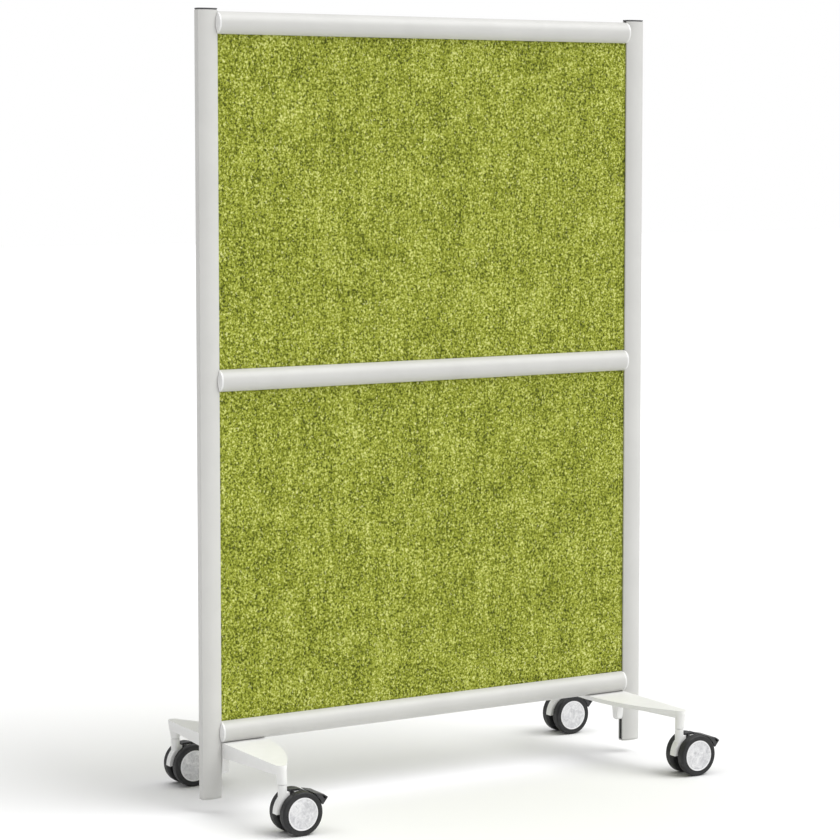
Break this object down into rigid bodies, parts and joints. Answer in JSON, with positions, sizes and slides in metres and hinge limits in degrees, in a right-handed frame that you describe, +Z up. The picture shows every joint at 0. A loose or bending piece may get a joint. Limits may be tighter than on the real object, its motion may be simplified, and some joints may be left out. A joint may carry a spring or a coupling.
{
  "type": "mobile acoustic screen",
  "caption": "Free-standing room divider: grey frame of posts and round rails around green felt panels, on feet with swivelling twin-wheel brake castors.",
  "frame": {"origin": "centre of the bounding box in X and Y, on the floor", "axes": "+X along the screen's width, towards the side that the castors trail to; -Y out of the front face; +Z up"},
  "size_m": [1.2354, 0.597, 1.8],
  "materials": {
    "frame_grey": "satin light grey coat on aluminium",
    "cap_dark": "satin dark grey",
    "end_cap_white": "glossy near-white",
    "felt_green": "soft heathered felt in yellow-green",
    "panel_board": "matte",
    "gasket_black": "matte",
    "foot_white": "satin near-white coat",
    "steel": "zinc plated",
    "housing_white": "semi-gloss",
    "pedal_black": "fine satin",
    "wheel_black": "satin",
    "tyre_black": "soft satin",
    "disc_white": "semi-gloss with a bright rim"
  },
  "bodies": {
    "frame": {"left_post": "frame_grey", "right_post": "frame_grey", "post_top_caps": "cap_dark", "post_bottom_caps": "frame_grey", "top_rail": "frame_grey", "middle_rail": "frame_grey", "bottom_rail": "frame_grey", "rail_end_fittings": "end_cap_white", "rail_bolts": "steel", "upper_board": "panel_board", "lower_board": "panel_board", "upper_front_felt": "felt_green", "upper_back_felt": "felt_green", "lower_front_felt": "felt_green", "lower_back_felt": "felt_green", "groove_strips": "gasket_black", "left_foot": "foot_white", "right_foot": "foot_white", "slot_nuts": "steel", "castor_stems": "steel"},
    "fl_castor": {"fl_housing": "housing_white", "fl_axle": "steel"},
    "fl_brake": {"fl_pedal": "pedal_black"},
    "fl_front_roller": {"fl_front_wheel": "wheel_black", "fl_front_tyre": "tyre_black", "fl_front_disc": "disc_white"},
    "fl_back_roller": {"fl_back_wheel": "wheel_black", "fl_back_tyre": "tyre_black", "fl_back_disc": "disc_white"},
    "fr_castor": {"fr_housing": "housing_white", "fr_axle": "steel"},
    "fr_brake": {"fr_pedal": "pedal_black"},
    "fr_front_roller": {"fr_front_wheel": "wheel_black", "fr_front_tyre": "tyre_black", "fr_front_disc": "disc_white"},
    "fr_back_roller": {"fr_back_wheel": "wheel_black", "fr_back_tyre": "tyre_black", "fr_back_disc": "disc_white"},
    "rl_castor": {"rl_housing": "housing_white", "rl_axle": "steel"},
    "rl_brake": {"rl_pedal": "pedal_black"},
    "rl_front_roller": {"rl_front_wheel": "wheel_black", "rl_front_tyre": "tyre_black", "rl_front_disc": "disc_white"},
    "rl_back_roller": {"rl_back_wheel": "wheel_black", "rl_back_tyre": "tyre_black", "rl_back_disc": "disc_white"},
    "rr_castor": {"rr_housing": "housing_white", "rr_axle": "steel"},
    "rr_brake": {"rr_pedal": "pedal_black"},
    "rr_front_roller": {"rr_front_wheel": "wheel_black", "rr_front_tyre": "tyre_black", "rr_front_disc": "disc_white"},
    "rr_back_roller": {"rr_back_wheel": "wheel_black", "rr_back_tyre": "tyre_black", "rr_back_disc": "disc_white"}
  },
  "joints": [
    {"name": "fl_swivel", "type": "hinge", "parent": "frame", "child": "fl_castor", "pos_m": [-0.55175, -0.264, 0.096], "axis": [0, 0, 1], "continuous": true},
    {"name": "fl_pedal_hinge", "type": "hinge", "parent": "fl_castor", "child": "fl_brake", "pos_m": [-0.51225, -0.264, 0.063], "axis": [0, 1, 0], "range_deg": [0, 8]},
    {"name": "fl_front_spin", "type": "hinge", "parent": "fl_castor", "child": "fl_front_roller", "pos_m": [-0.51825, -0.264, 0.049], "axis": [0, 1, 0], "continuous": true},
    {"name": "fl_back_spin", "type": "hinge", "parent": "fl_castor", "child": "fl_back_roller", "pos_m": [-0.51825, -0.264, 0.049], "axis": [0, 1, 0], "continuous": true},
    {"name": "fr_swivel", "type": "hinge", "parent": "frame", "child": "fr_castor", "pos_m": [0.52125, -0.264, 0.096], "axis": [0, 0, 1], "continuous": true},
    {"name": "fr_pedal_hinge", "type": "hinge", "parent": "fr_castor", "child": "fr_brake", "pos_m": [0.56075, -0.264, 0.063], "axis": [0, 1, 0], "range_deg": [0, 8]},
    {"name": "fr_front_spin", "type": "hinge", "parent": "fr_castor", "child": "fr_front_roller", "pos_m": [0.55475, -0.264, 0.049], "axis": [0, 1, 0], "continuous": true},
    {"name": "fr_back_spin", "type": "hinge", "parent": "fr_castor", "child": "fr_back_roller", "pos_m": [0.55475, -0.264, 0.049], "axis": [0, 1, 0], "continuous": true},
    {"name": "rl_swivel", "type": "hinge", "parent": "frame", "child": "rl_castor", "pos_m": [-0.55175, 0.264, 0.096], "axis": [0, 0, 1], "continuous": true},
    {"name": "rl_pedal_hinge", "type": "hinge", "parent": "rl_castor", "child": "rl_brake", "pos_m": [-0.51225, 0.264, 0.063], "axis": [0, 1, 0], "range_deg": [0, 8]},
    {"name": "rl_front_spin", "type": "hinge", "parent": "rl_castor", "child": "rl_front_roller", "pos_m": [-0.51825, 0.264, 0.049], "axis": [0, 1, 0], "continuous": true},
    {"name": "rl_back_spin", "type": "hinge", "parent": "rl_castor", "child": "rl_back_roller", "pos_m": [-0.51825, 0.264, 0.049], "axis": [0, 1, 0], "continuous": true},
    {"name": "rr_swivel", "type": "hinge", "parent": "frame", "child": "rr_castor", "pos_m": [0.52125, 0.264, 0.096], "axis": [0, 0, 1], "continuous": true},
    {"name": "rr_pedal_hinge", "type": "hinge", "parent": "rr_castor", "child": "rr_brake", "pos_m": [0.56075, 0.264, 0.063], "axis": [0, 1, 0], "range_deg": [0, 8]},
    {"name": "rr_front_spin", "type": "hinge", "parent": "rr_castor", "child": "rr_front_roller", "pos_m": [0.55475, 0.264, 0.049], "axis": [0, 1, 0], "continuous": true},
    {"name": "rr_back_spin", "type": "hinge", "parent": "rr_castor", "child": "rr_back_roller", "pos_m": [0.55475, 0.264, 0.049], "axis": [0, 1, 0], "continuous": true}
  ]
}
